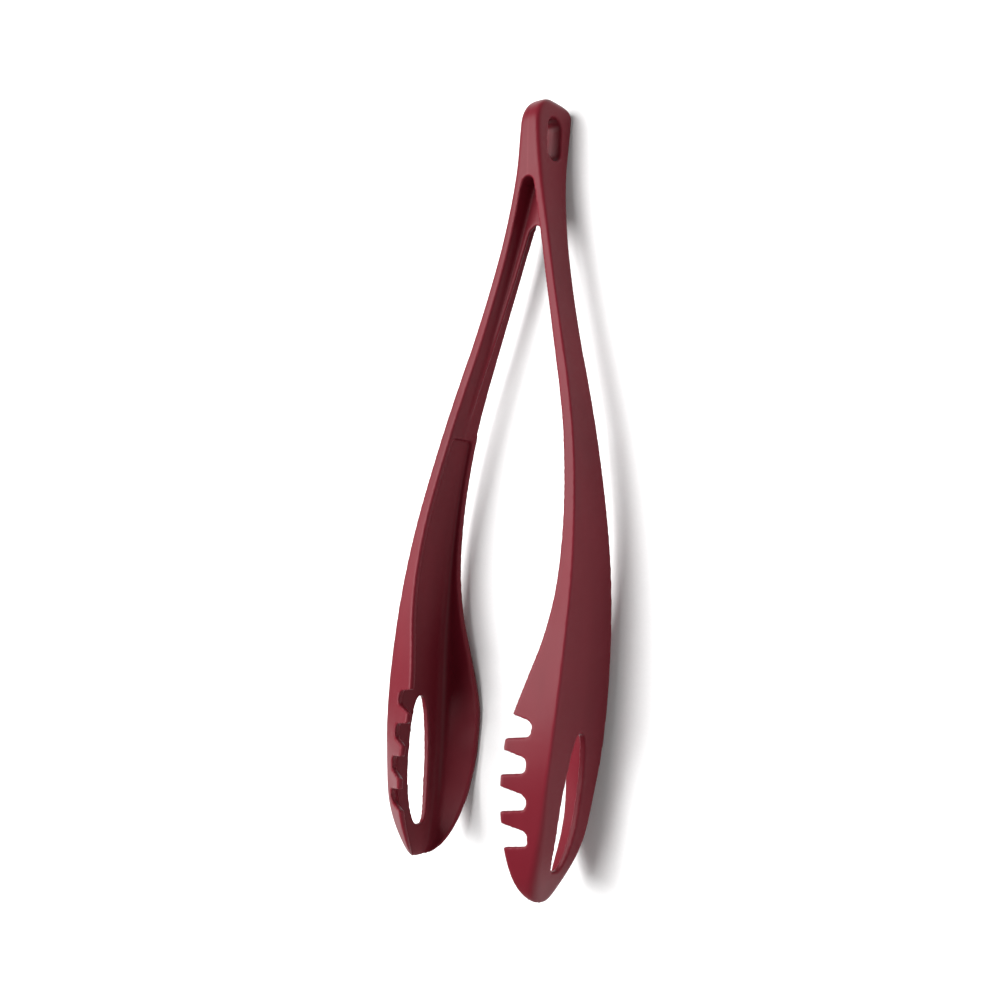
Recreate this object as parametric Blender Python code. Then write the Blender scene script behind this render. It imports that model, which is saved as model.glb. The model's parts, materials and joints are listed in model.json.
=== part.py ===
"""Kitchen tongs moulded in one piece from stiff plastic, modelled in metres.

The tongs lie on a flat surface.  The jaw tips point to -Y, the crown to +Y and Z is up.  Every size
below is in millimetres.  Stations along the tongs are heights y above the jaw tips, x is the
distance from the middle plane between the arms, and z the depth from the plane that halves the tongs.
"""
import bpy
import bmesh
import math
import numpy as np
from mathutils import Matrix, Vector

MM = 0.001
SIDES = {"left": -1.0, "right": 1.0}

# ---- driving sizes, in millimetres ------------------------------------------------------------
JAW_LENGTH = 162.1        # jaw tip to the start of the trough
ARM_LENGTH = 77.5         # start of the trough to the root of the arm
HEAD_LENGTH = 49.3        # root of the arms to the top of the crown
HALF_OPENING = 41.7       # middle plane to the outside of an arm, at its widest
TIP_HALF_OPENING = 31.5   # middle plane to the outside of a jaw tip
ROOT_HALF_WIDTH = 10.4    # the same at the root of the arm
CROWN_HALF_WIDTH = 4.6    # half of the crown across the arms

CROWN_HALF_DEPTH = 10.1   # half of the crown's depth, front to back
ROOT_HALF_DEPTH = 6.3     # half of the arm's depth at its root
WAIST_HALF_DEPTH = 5.7    # half of the arm's depth where it is slimmest
GRIP_HALF_DEPTH = 7.4     # half of the depth where the trough starts
JAW_HALF_DEPTH = 14.3     # half of the jaw's outer wall, at its widest

FLANGE_AT_ROOT = 3.9      # thickness of the arm's outer flange at the root
FLANGE_AT_GRIP = 4.7      # and where the trough starts
RIB_THICKNESS = 1.3       # rib along the inside of the arm, and the web it grows out of
RIB_HEIGHT = 3.3          # rib above the flange at the root
RIB_END_HEIGHT = 0.2      # and where it runs out
RIB_RUN_OUT = 6.0         # plain flange between the end of the rib and the trough
RIB_CURVE = 0.8           # how soon the rib runs out, 1 being a straight line

JAW_FLOOR = 2.8           # outer wall of the trough
JAW_WALL = 2.4            # front and back walls of the trough
WALL_HEIGHT = 17.4        # length of the front and back walls at the middle of the tines
WALL_AT_GRIP = 4.8        # length of the walls where the trough starts
FLARE = 26.0              # greatest outward lean of the front wall, in degrees
BACK_LEAN = 0.72          # the back wall leans less, but not near the tip
BACK_LENGTH = 1.08        # and is a little longer
TIP_LENGTH = 25.0         # end of the jaw that narrows to the rounded tip
TIP_BLUNT = 0.15          # flat at the very end of the tip
TIP_CURVE = 1.6           # how late the tip starts to narrow
TIP_DEPTH_POWER = 0.37    # how bluntly the outer wall narrows, 0.5 being an ellipse
TIP_WALL_POWER = 0.62     # and the length of the front and back walls
TIP_SKIN_POWER = 0.45     # and their thickness

NOTCHES = 4               # gaps in the front wall, which leave three tines
NOTCH_PITCH = 12.3
FIRST_NOTCH = 24.2        # height of the lowest notch above the tip
NOTCH_DEPTH = 8.6
NOTCH_MOUTH = 8.2         # width of a notch at the rim
NOTCH_ROOT_RADIUS = 2.4

SLOT_LENGTH = 48.8        # drain slot in the outer wall
SLOT_BOTTOM = 11.2        # its lower end above the tip
SLOT_WIDTH = 10.4
SLOT_SHIFT = 0.9          # how far it lies behind the middle of the wall
SLOT_SKEW = 0.85          # below 1 the slot is widest nearer its lower end
SLOT_ROUNDNESS = 0.36     # how blunt its ends are, 0.5 being an ellipse

HANG_HOLE_LENGTH = 16.4
HANG_HOLE_WIDTH = 7.6
HANG_HOLE_TO_TOP = 15.4   # crown top to the middle of the hole
POCKET_TO_TOP = 30.7      # crown top to the top of the pockets
POCKET_RADIUS = 2.9
CROTCH_TO_ROOT = 2.0      # edge of the web above the root of the arms
CROWN_DOME_WIDE = 3.4     # height of the crown's rounding, seen from the front
CROWN_DOME_FRONT = 11.0   # seen from the side, towards the front
CROWN_DOME_BACK = 4.8     # and towards the back
CROWN_CORNER = 1.3        # corner radius of the crown

SPLIT_GAP = 0.3           # gap between neighbouring regions of the moulding

TOTAL_LENGTH = JAW_LENGTH + ARM_LENGTH + HEAD_LENGTH
ROOT_Y = JAW_LENGTH + ARM_LENGTH
POCKET_TOP = TOTAL_LENGTH - POCKET_TO_TOP
HANG_HOLE_Y = TOTAL_LENGTH - HANG_HOLE_TO_TOP

COLOUR = (0.115, 0.012, 0.022, 1.0)
ROUGHNESS = 0.38


# ---- curves of the outline ---------------------------------------------------------------------
def smooth(points):
    """A smooth curve through (station, value) points, as a function of the station."""
    xs = np.array([p[0] for p in points], float)
    vs = np.array([p[1] for p in points], float)
    slopes = np.gradient(vs, xs)

    def value(x):
        x = min(max(x, xs[0]), xs[-1])
        i = min(int(np.searchsorted(xs, x, side="right")) - 1, len(xs) - 2)
        span = xs[i + 1] - xs[i]
        t = (x - xs[i]) / span
        return float((2 * t**3 - 3 * t**2 + 1) * vs[i] + (t**3 - 2 * t**2 + t) * span * slopes[i]
                     + (3 * t**2 - 2 * t**3) * vs[i + 1] + (t**3 - t**2) * span * slopes[i + 1])
    return value


half_width = smooth([
    (0.0, TIP_HALF_OPENING),
    (0.11 * JAW_LENGTH, 0.44 * TIP_HALF_OPENING + 0.56 * HALF_OPENING),
    (0.26 * JAW_LENGTH, 0.16 * TIP_HALF_OPENING + 0.84 * HALF_OPENING),
    (0.50 * JAW_LENGTH, HALF_OPENING),
    (0.74 * JAW_LENGTH, 0.94 * HALF_OPENING + 0.06 * ROOT_HALF_WIDTH),
    (0.87 * JAW_LENGTH, 0.84 * HALF_OPENING + 0.16 * ROOT_HALF_WIDTH),
    (JAW_LENGTH, 0.70 * HALF_OPENING + 0.30 * ROOT_HALF_WIDTH),
    (JAW_LENGTH + 0.25 * ARM_LENGTH, 0.53 * HALF_OPENING + 0.47 * ROOT_HALF_WIDTH),
    (JAW_LENGTH + 0.48 * ARM_LENGTH, 0.35 * HALF_OPENING + 0.65 * ROOT_HALF_WIDTH),
    (JAW_LENGTH + 0.74 * ARM_LENGTH, 0.16 * HALF_OPENING + 0.84 * ROOT_HALF_WIDTH),
    (ROOT_Y, ROOT_HALF_WIDTH),
    (POCKET_TOP, 0.35 * ROOT_HALF_WIDTH + 0.65 * CROWN_HALF_WIDTH),
    (TOTAL_LENGTH - 10.0, CROWN_HALF_WIDTH),
    (TOTAL_LENGTH, 0.92 * CROWN_HALF_WIDTH)])

half_depth = smooth([
    (0.0, 0.80 * JAW_HALF_DEPTH),
    (TIP_LENGTH, 0.90 * JAW_HALF_DEPTH),
    (2.0 * TIP_LENGTH, JAW_HALF_DEPTH),
    (0.57 * JAW_LENGTH, 0.83 * JAW_HALF_DEPTH + 0.17 * GRIP_HALF_DEPTH),
    (0.74 * JAW_LENGTH, 0.52 * JAW_HALF_DEPTH + 0.48 * GRIP_HALF_DEPTH),
    (JAW_LENGTH, GRIP_HALF_DEPTH),
    (JAW_LENGTH + 0.65 * ARM_LENGTH, WAIST_HALF_DEPTH),
    (ROOT_Y, ROOT_HALF_DEPTH),
    (POCKET_TOP, 0.58 * ROOT_HALF_DEPTH + 0.42 * CROWN_HALF_DEPTH),
    (TOTAL_LENGTH - 9.0, CROWN_HALF_DEPTH),
    (TOTAL_LENGTH, CROWN_HALF_DEPTH)])

wall_height = smooth([
    (0.0, 0.71 * WALL_HEIGHT),
    (TIP_LENGTH, 0.80 * WALL_HEIGHT),
    (0.20 * JAW_LENGTH, 0.88 * WALL_HEIGHT),
    (0.27 * JAW_LENGTH, 0.96 * WALL_HEIGHT),
    (0.35 * JAW_LENGTH, WALL_HEIGHT),
    (0.40 * JAW_LENGTH, 0.94 * WALL_HEIGHT),
    (0.48 * JAW_LENGTH, 0.67 * WALL_HEIGHT + 0.33 * WALL_AT_GRIP),
    (0.56 * JAW_LENGTH, 0.38 * WALL_HEIGHT + 0.62 * WALL_AT_GRIP),
    (0.64 * JAW_LENGTH, 0.19 * WALL_HEIGHT + 0.81 * WALL_AT_GRIP),
    (0.76 * JAW_LENGTH, 0.06 * WALL_HEIGHT + 0.94 * WALL_AT_GRIP),
    (JAW_LENGTH, WALL_AT_GRIP)])

flare = smooth([
    (0.0, 0.62 * FLARE),
    (0.12 * JAW_LENGTH, 0.90 * FLARE),
    (0.20 * JAW_LENGTH, FLARE),
    (0.35 * JAW_LENGTH, 0.66 * FLARE),
    (0.44 * JAW_LENGTH, 0.44 * FLARE),
    (0.56 * JAW_LENGTH, 0.26 * FLARE),
    (0.65 * JAW_LENGTH, 0.13 * FLARE),
    (0.80 * JAW_LENGTH, 0.04 * FLARE),
    (JAW_LENGTH, 0.0)])

back_lean = smooth([
    (0.0, 1.0),
    (0.13 * JAW_LENGTH, 1.0),
    (0.26 * JAW_LENGTH, 0.35 + 0.65 * BACK_LEAN),
    (0.40 * JAW_LENGTH, BACK_LEAN),
    (JAW_LENGTH, BACK_LEAN)])

flange = smooth([
    (JAW_LENGTH, FLANGE_AT_GRIP),
    (JAW_LENGTH + 0.35 * ARM_LENGTH, 0.90 * FLANGE_AT_GRIP + 0.10 * FLANGE_AT_ROOT),
    (JAW_LENGTH + 0.65 * ARM_LENGTH, 0.15 * FLANGE_AT_GRIP + 0.85 * FLANGE_AT_ROOT),
    (ROOT_Y, FLANGE_AT_ROOT),
    (POCKET_TOP, FLANGE_AT_ROOT)])


def tip_taper(y, power):
    """1 above the rounded tip of a jaw, falling to almost nothing at its end."""
    s = 1.0 - (y + TIP_BLUNT) / (TIP_LENGTH + TIP_BLUNT)
    return 1.0 if s <= 0.0 else (1.0 - s**TIP_CURVE) ** power


def rib_height(y):
    """Height of the rib above the flange, from the root down to where it runs out."""
    start = JAW_LENGTH + RIB_RUN_OUT
    share = min(max((y - start) / (ROOT_Y - start), 0.0), 1.0)
    return RIB_END_HEIGHT + (RIB_HEIGHT - RIB_END_HEIGHT) * share ** RIB_CURVE


# ---- Blender helpers -----------------------------------------------------------------------------
def clear_scene():
    for obj in list(bpy.data.objects):
        bpy.data.objects.remove(obj, do_unlink=True)


def new_collection(name):
    collection = bpy.data.collections.new(name)
    bpy.context.scene.collection.children.link(collection)
    return collection


def mesh_object(name, bm, collection):
    """Close a bmesh off as an object, its faces pointing outwards."""
    bmesh.ops.recalc_face_normals(bm, faces=bm.faces)
    mesh = bpy.data.meshes.new(name)
    bm.to_mesh(mesh)
    bm.free()
    obj = bpy.data.objects.new(name, mesh)
    collection.objects.link(obj)
    return obj


def loft(name, sections, collection):
    """A closed solid through sections that are rings with the same number of points."""
    bm = bmesh.new()
    rings = [[bm.verts.new([c * MM for c in point]) for point in ring] for ring in sections]
    count = len(rings[0])
    for low, high in zip(rings, rings[1:]):
        for i in range(count):
            j = (i + 1) % count
            bm.faces.new((low[i], low[j], high[j], high[i]))
    bm.faces.new(rings[0])
    bm.faces.new(rings[-1])
    return mesh_object(name, bm, collection)


def prism(name, outline, axis, low, high, collection):
    """A flat outline of points in the plane across an axis, extruded from low to high."""
    bm = bmesh.new()
    def place(u, v, w):
        return [c * MM for c in ((w, u, v) if axis == "X" else (u, v, w))]
    face = bm.faces.new([bm.verts.new(place(u, v, low)) for u, v in outline])
    raised = bmesh.ops.extrude_face_region(bm, geom=[face])["geom"]
    shift = Vector((high - low, 0, 0) if axis == "X" else (0, 0, high - low)) * MM
    bmesh.ops.translate(bm, verts=[v for v in raised if isinstance(v, bmesh.types.BMVert)], vec=shift)
    obj = mesh_object(name, bm, collection)
    obj.hide_render = True
    obj.display_type = "WIRE"
    return obj


def cut(obj, cutter):
    modifier = obj.modifiers.new(cutter.name, "BOOLEAN")
    modifier.operation = "DIFFERENCE"
    modifier.solver = "EXACT"
    modifier.object = cutter


def arc(cx, cy, radius, start, end, steps):
    """Points along an arc, its angles in degrees."""
    angles = np.radians(np.linspace(start, end, steps))
    return [(cx + radius * math.cos(a), cy + radius * math.sin(a)) for a in angles]


def plastic():
    material = bpy.data.materials.new("burgundy_plastic")
    material.use_nodes = True
    shader = material.node_tree.nodes["Principled BSDF"]
    shader.inputs["Base Color"].default_value = COLOUR
    shader.inputs["Roughness"].default_value = ROUGHNESS
    return material


# ---- crown -----------------------------------------------------------------------------------------
def crown_section(y):
    """A rectangle with rounded corners, shrinking over the dome at the top."""
    def dome(height):
        over = max(y - (TOTAL_LENGTH - height), 0.0) / height
        return math.sqrt(max(1.0 - over * over, 0.0))
    w = half_width(y) * dome(CROWN_DOME_WIDE)
    front = half_depth(y) * dome(CROWN_DOME_FRONT)
    back = half_depth(y) * dome(CROWN_DOME_BACK)
    r = min(CROWN_CORNER, 0.45 * w, 0.45 * front)
    ring = []
    for sx, depth, start in ((1, front - r, 0), (-1, front - r, 90), (-1, r - back, 180), (1, r - back, 270)):
        ring += arc(sx * (w - r), depth, r, start, start + 90, 3)
    return [(x, y, z) for x, z in ring]


def pocket_side(y):
    """Inner face of the flange, which is also the side of the pockets."""
    return half_width(y) - flange(y)


def build_crown(collection, cutters):
    bottom = ROOT_Y + SPLIT_GAP / 2
    dome_start = TOTAL_LENGTH - CROWN_DOME_FRONT
    stations = list(np.linspace(bottom, dome_start, 12))
    turns = np.radians(np.linspace(12, 86, 8))
    stations += [dome_start + CROWN_DOME_FRONT * math.sin(a) for a in turns]
    crown = loft("crown", [crown_section(y) for y in stations], collection)

    arch_y = POCKET_TOP - POCKET_RADIUS
    low = ROOT_Y - 6.0
    sides = [(pocket_side(y), y) for y in np.linspace(low, arch_y - 1.0, 6)]
    outline = sides + arc(0.0, arch_y, POCKET_RADIUS, 0, 180, 9) + [(-x, y) for x, y in reversed(sides)]
    reach = CROWN_HALF_DEPTH + 5.0
    skin = RIB_THICKNESS / 2
    for name, z0, z1 in (("front_pocket", skin, reach), ("back_pocket", -reach, -skin)):
        cut(crown, prism(name, outline, "Z", z0, z1, cutters))

    foot = pocket_side(ROOT_Y) - RIB_HEIGHT
    crotch_y = ROOT_Y + CROTCH_TO_ROOT
    bend = min(foot * 0.6, CROTCH_TO_ROOT * 0.6)
    gap = [(foot + 0.4, ROOT_Y - 6.0), (foot, ROOT_Y)]
    gap += [(bend * math.cos(a) + (foot - bend) * (1 - math.sin(a)), ROOT_Y + CROTCH_TO_ROOT * math.sin(a))
            for a in np.radians(np.linspace(20, 90, 5))]
    gap = gap[:-1] + [(0.0, crotch_y)] + [(-x, y) for x, y in reversed(gap[:-1])]
    cut(crown, prism("crotch", gap, "Z", -reach, reach, cutters))

    half = HANG_HOLE_WIDTH / 2
    straight = HANG_HOLE_LENGTH / 2 - half
    hole = arc(HANG_HOLE_Y + straight, 0.0, half, -90, 90, 9)
    hole += arc(HANG_HOLE_Y - straight, 0.0, half, 90, 270, 9)
    side = CROWN_HALF_WIDTH + ROOT_HALF_WIDTH
    cut(crown, prism("hang_hole", hole, "X", -side, side, cutters))
    return crown


# ---- arms --------------------------------------------------------------------------------------------
def arm_section(y, side):
    """A T: the flat outer flange and the thin rib on its inner side."""
    w, d, r = half_width(y), half_depth(y), RIB_THICKNESS / 2
    inner = w - flange(y)
    edge = inner - rib_height(y)
    ring = [(w, -d), (w, d), (inner, d), (inner, r), (edge, r), (edge, -r), (inner, -r), (inner, -d)]
    return [(side * x, y, z) for x, z in ring]


def build_arm(name, side, collection):
    low = JAW_LENGTH + SPLIT_GAP / 2
    high = ROOT_Y - SPLIT_GAP / 2
    return loft(f"{name}_arm", [arm_section(y, side) for y in np.linspace(low, high, 19)], collection)


# ---- jaws ----------------------------------------------------------------------------------------------
def jaw_lines(y):
    """Half width, half depth, wall length and lean of a jaw at a station."""
    return (half_width(y), half_depth(y) * tip_taper(y, TIP_DEPTH_POWER),
            wall_height(y) * tip_taper(y, TIP_WALL_POWER), math.radians(flare(y)))


def trough_wall(y, lean_share=1.0, length_share=1.0):
    """Corners of one wall: outside edge, rim outside and inside, and foot inside, as (x, depth)."""
    w, d, length, lean = jaw_lines(y)
    length *= length_share
    lean *= lean_share
    floor = JAW_FLOOR * tip_taper(y, TIP_SKIN_POWER)
    wall = JAW_WALL * tip_taper(y, TIP_SKIN_POWER)
    rim_x, rim_z = w - length * math.cos(lean), d + length * math.sin(lean)
    foot_z = d - wall / math.cos(lean) + floor * math.tan(lean)
    return [(w, d), (rim_x, rim_z), (rim_x - wall * math.sin(lean), rim_z - wall * math.cos(lean)),
            (w - floor, foot_z)]


def rim(y):
    """Outer edge of the front wall's rim, as (x, z)."""
    return trough_wall(y)[1]


def jaw_section(y, side):
    """A channel: outer wall, and front and back walls that lean outwards."""
    back = trough_wall(y, back_lean(y), BACK_LENGTH)
    ring = trough_wall(y) + [(x, -z) for x, z in reversed(back)]
    return [(side * x, y, z) for x, z in ring]


def notch_outline(y, side):
    """A rounded notch that opens towards the rim, leaving tines that taper."""
    x_rim = rim(y)[0]
    bottom = x_rim + NOTCH_DEPTH * math.cos(math.radians(flare(y)))
    centre = bottom - NOTCH_ROOT_RADIUS
    mouth = x_rim - NOTCH_DEPTH
    lean = (NOTCH_MOUTH / 2 - NOTCH_ROOT_RADIUS) * (centre - mouth) / (centre - x_rim)
    half = NOTCH_ROOT_RADIUS + lean
    outline = [(mouth, y - half)] + arc(centre, y, NOTCH_ROOT_RADIUS, -90, 90, 9) + [(mouth, y + half)]
    return [(side * x, v) for x, v in outline]


def slot_outline():
    """An almond in the outer wall, blunt at its upper end, as (y, z)."""
    def half(t):
        return SLOT_WIDTH / 2 * math.sin(math.pi * t ** SLOT_SKEW) ** SLOT_ROUNDNESS
    steps = np.linspace(0.0, 1.0, 17)
    spread = [0.5 - 0.5 * math.cos(math.pi * t) for t in steps]
    upper = [(SLOT_BOTTOM + SLOT_LENGTH * t, half(t)) for t in spread[1:-1]]
    outline = [(SLOT_BOTTOM, 0.0)] + upper + [(SLOT_BOTTOM + SLOT_LENGTH, 0.0)]
    outline += [(y, -z) for y, z in reversed(upper)]
    return [(y, z - SLOT_SHIFT) for y, z in outline]


def build_jaw(name, side, collection, cutters):
    top = JAW_LENGTH - SPLIT_GAP / 2
    stations = [top * (i / 34) ** 1.5 for i in range(35)]
    jaw = loft(f"{name}_jaw", [jaw_section(y, side) for y in stations], collection)
    reach = JAW_HALF_DEPTH + WALL_HEIGHT
    for i in range(NOTCHES):
        y = FIRST_NOTCH + i * NOTCH_PITCH
        cut(jaw, prism(f"{name}_notch_{i + 1}", notch_outline(y, side), "Z", 1.0, reach, cutters))
    middle = SLOT_BOTTOM + SLOT_LENGTH / 2
    inside = side * (half_width(SLOT_BOTTOM) - 2.2 * JAW_FLOOR)
    outside = side * (half_width(middle) + 2.2 * JAW_FLOOR)
    cut(jaw, prism(f"{name}_slot", slot_outline(), "X", min(inside, outside), max(inside, outside), cutters))
    return jaw


# ---- hinges and rest ---------------------------------------------------------------------------------------
def hinge_point(side):
    """Where an arm bends: the inner edge of its rib, at its root."""
    return Vector((side * (pocket_side(ROOT_Y) - RIB_HEIGHT), ROOT_Y, 0.0)) * MM


def move_origin(obj, point):
    obj.data.transform(Matrix.Translation(-point))
    obj.location = point


def lay_down(frame, parts):
    """Turn and lift the whole so that its back rests on the plane z = 0, centred on the origin."""
    points = np.array([obj.location + vertex.co for obj in parts for vertex in obj.data.vertices])
    middle = (ROOT_Y + JAW_LENGTH) / 2 * MM
    tilt = 0.0
    for _ in range(12):
        height = points[:, 1] * math.sin(tilt) + points[:, 2] * math.cos(tilt)
        low_jaw = np.argmin(np.where(points[:, 1] < middle, height, 1.0))
        low_head = np.argmin(np.where(points[:, 1] >= middle, height, 1.0))
        tilt -= (height[low_head] - height[low_jaw]) / (points[low_head, 1] - points[low_jaw, 1])
    along = points[:, 1] * math.cos(tilt) - points[:, 2] * math.sin(tilt)
    height = points[:, 1] * math.sin(tilt) + points[:, 2] * math.cos(tilt)
    frame.rotation_euler.x = tilt
    frame.location = (0.0, -(along.min() + along.max()) / 2, -height.min())


def main():
    clear_scene()
    parts_in = new_collection("kitchen_tongs")
    cutters = new_collection("cutters")
    parts = [build_crown(parts_in, cutters)]
    for name, side in SIDES.items():
        for piece in (build_arm(name, side, parts_in), build_jaw(name, side, parts_in, cutters)):
            move_origin(piece, hinge_point(side))
            parts.append(piece)
    frame = bpy.data.objects.new("lying_on_its_back", None)
    parts_in.objects.link(frame)
    lay_down(frame, parts)
    material = plastic()
    for obj in parts:
        obj.data.materials.append(material)
    for obj in parts + list(cutters.objects):
        obj.parent = frame


main()
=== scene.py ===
# %% [markdown]
# # Spring loaded kitchen tongs
#
# The real tongs are one moulding of stiff burgundy plastic. A short crown with a hang hole carries two
# arms, each arm ends in a trough shaped jaw, and the plastic of the crown's thin web is the only
# spring. This lesson builds the moulding as solid pieces that overlap, melts them into one smooth skin,
# and places that skin in the frame of an imported mechanical model.

# %% Load the mechanical frame
import json
import math

import bmesh
import bpy
import numpy as np
from mathutils import Matrix, Vector


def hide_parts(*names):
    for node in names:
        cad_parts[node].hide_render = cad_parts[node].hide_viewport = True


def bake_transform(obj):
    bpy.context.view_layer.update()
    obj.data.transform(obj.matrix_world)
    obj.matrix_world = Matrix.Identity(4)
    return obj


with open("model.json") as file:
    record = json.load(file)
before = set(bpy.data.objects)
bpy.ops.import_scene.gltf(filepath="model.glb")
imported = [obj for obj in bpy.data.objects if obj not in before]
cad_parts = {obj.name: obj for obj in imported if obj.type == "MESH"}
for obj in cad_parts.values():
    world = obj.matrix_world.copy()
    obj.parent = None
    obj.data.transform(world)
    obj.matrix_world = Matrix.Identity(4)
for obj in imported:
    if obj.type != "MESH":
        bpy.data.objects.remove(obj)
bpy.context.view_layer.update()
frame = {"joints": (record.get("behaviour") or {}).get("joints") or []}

# %% [markdown]
# ## The sizes of the tongs
#
# Every size is a named value in millimetres. The tongs have their own axes: x runs across from the
# middle plane to the right arm, y runs up from the jaw tips to the crown, and z comes out of the front.
# Only a few lengths drive the outline, and the rest are shares of them, so a change to one length
# carries the whole shape along.

# %% Sizes in millimetres
MM = 0.001
JAW_LENGTH = 162.1         # jaw tip to the start of the trough
ARM_LENGTH = 77.5          # start of the trough to the root of the arm
HEAD_LENGTH = 49.3         # root of the arms to the top of the crown
ROOT_Y = JAW_LENGTH + ARM_LENGTH
TOTAL_LENGTH = ROOT_Y + HEAD_LENGTH

HALF_OPENING = 41.7        # middle plane to the outside of an arm, at its widest
TIP_HALF_OPENING = 31.5    # the same at a jaw tip
ROOT_HALF_WIDTH = 10.4     # and at the root of an arm
CROWN_HALF_WIDTH = 4.6

CROWN_HALF_DEPTH = 10.1
ROOT_HALF_DEPTH = 6.3
WAIST_HALF_DEPTH = 5.7
GRIP_HALF_DEPTH = 7.4
JAW_HALF_DEPTH = 14.3

JAW_FLOOR = 2.8            # outer wall of the trough
JAW_WALL = 2.4             # its front and back walls
WALL_HEIGHT = 17.4
WALL_AT_GRIP = 4.8
FLARE = 26.0               # greatest outward lean of the front wall, in degrees
BACK_LEAN = 0.72           # the back wall leans less, but not near the tip
BACK_LENGTH = 1.08         # and is a little longer
TIP_LENGTH = 25.0
print(f"tongs {TOTAL_LENGTH:.0f} mm long, {2 * HALF_OPENING:.0f} mm across when open")

# %% [markdown]
# ## Curves through a few stations
#
# A moulded handle has no straight lines. Each measure of the outline, such as the half width, is a
# curve through a few stations along the tongs. A Hermite curve passes through every station and takes
# its slope from the neighbours, so it stays smooth and never needs handles to be set by hand.

# %% Outline curves
def smooth(points):
    """A smooth curve through (station, value) points, as a function of the station."""
    xs = np.array([p[0] for p in points], float)
    vs = np.array([p[1] for p in points], float)
    slopes = np.gradient(vs, xs)

    def value(x):
        x = min(max(x, xs[0]), xs[-1])
        i = min(int(np.searchsorted(xs, x, side="right")) - 1, len(xs) - 2)
        span = xs[i + 1] - xs[i]
        t = (x - xs[i]) / span
        return float((2 * t**3 - 3 * t**2 + 1) * vs[i] + (t**3 - 2 * t**2 + t) * span * slopes[i]
                     + (3 * t**2 - 2 * t**3) * vs[i + 1] + (t**3 - t**2) * span * slopes[i + 1])
    return value


def between(a, b):
    """A share of the way from size a to size b."""
    return lambda share: a + (b - a) * share


POCKET_TO_TOP = 30.7
POCKET_TOP = TOTAL_LENGTH - POCKET_TO_TOP
tip_out = between(TIP_HALF_OPENING, HALF_OPENING)
arm_in = between(HALF_OPENING, ROOT_HALF_WIDTH)
half_width = smooth([
    (0.0, TIP_HALF_OPENING), (0.11 * JAW_LENGTH, tip_out(0.56)), (0.26 * JAW_LENGTH, tip_out(0.84)),
    (0.50 * JAW_LENGTH, HALF_OPENING), (0.74 * JAW_LENGTH, arm_in(0.06)),
    (0.87 * JAW_LENGTH, arm_in(0.16)), (JAW_LENGTH, arm_in(0.30)),
    (JAW_LENGTH + 0.25 * ARM_LENGTH, arm_in(0.47)), (JAW_LENGTH + 0.48 * ARM_LENGTH, arm_in(0.65)),
    (JAW_LENGTH + 0.74 * ARM_LENGTH, arm_in(0.84)), (ROOT_Y, ROOT_HALF_WIDTH),
    (POCKET_TOP, between(ROOT_HALF_WIDTH, CROWN_HALF_WIDTH)(0.65)),
    (TOTAL_LENGTH - 10.0, CROWN_HALF_WIDTH), (TOTAL_LENGTH, 0.92 * CROWN_HALF_WIDTH)])

jaw_in = between(JAW_HALF_DEPTH, GRIP_HALF_DEPTH)
half_depth = smooth([
    (0.0, 0.80 * JAW_HALF_DEPTH), (TIP_LENGTH, 0.90 * JAW_HALF_DEPTH), (2.0 * TIP_LENGTH, JAW_HALF_DEPTH),
    (0.57 * JAW_LENGTH, jaw_in(0.17)), (0.74 * JAW_LENGTH, jaw_in(0.48)), (JAW_LENGTH, GRIP_HALF_DEPTH),
    (JAW_LENGTH + 0.65 * ARM_LENGTH, WAIST_HALF_DEPTH), (ROOT_Y, ROOT_HALF_DEPTH),
    (POCKET_TOP, between(ROOT_HALF_DEPTH, CROWN_HALF_DEPTH)(0.42)),
    (TOTAL_LENGTH - 9.0, CROWN_HALF_DEPTH), (TOTAL_LENGTH, CROWN_HALF_DEPTH)])

wall_down = between(WALL_HEIGHT, WALL_AT_GRIP)
wall_height = smooth([
    (0.0, 0.71 * WALL_HEIGHT), (TIP_LENGTH, 0.80 * WALL_HEIGHT), (0.20 * JAW_LENGTH, 0.88 * WALL_HEIGHT),
    (0.27 * JAW_LENGTH, 0.96 * WALL_HEIGHT), (0.35 * JAW_LENGTH, WALL_HEIGHT),
    (0.40 * JAW_LENGTH, 0.94 * WALL_HEIGHT), (0.48 * JAW_LENGTH, wall_down(0.33)),
    (0.56 * JAW_LENGTH, wall_down(0.62)), (0.64 * JAW_LENGTH, wall_down(0.81)),
    (0.76 * JAW_LENGTH, wall_down(0.94)), (JAW_LENGTH, WALL_AT_GRIP)])

flare = smooth([
    (0.0, 0.62 * FLARE), (0.12 * JAW_LENGTH, 0.90 * FLARE), (0.20 * JAW_LENGTH, FLARE),
    (0.35 * JAW_LENGTH, 0.66 * FLARE), (0.44 * JAW_LENGTH, 0.44 * FLARE),
    (0.56 * JAW_LENGTH, 0.26 * FLARE), (0.65 * JAW_LENGTH, 0.13 * FLARE),
    (0.80 * JAW_LENGTH, 0.04 * FLARE), (JAW_LENGTH, 0.0)])

back_lean = smooth([
    (0.0, 1.0), (0.13 * JAW_LENGTH, 1.0), (0.26 * JAW_LENGTH, 0.35 + 0.65 * BACK_LEAN),
    (0.40 * JAW_LENGTH, BACK_LEAN), (JAW_LENGTH, BACK_LEAN)])
print(f"widest at the belly: {2 * half_width(0.5 * JAW_LENGTH):.1f} mm")

# %% [markdown]
# ## Rings and lofts
#
# A loft joins rings of points, one ring for each station along the tongs. The tongs are moulded, so no
# corner of a ring is sharp. A small Bezier curve at each corner rounds it, always with the same number
# of points, so that neighbouring rings match point for point.

# %% Helpers for closed solids
workshop = bpy.data.collections.new("workshop")
bpy.context.scene.collection.children.link(workshop)


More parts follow.
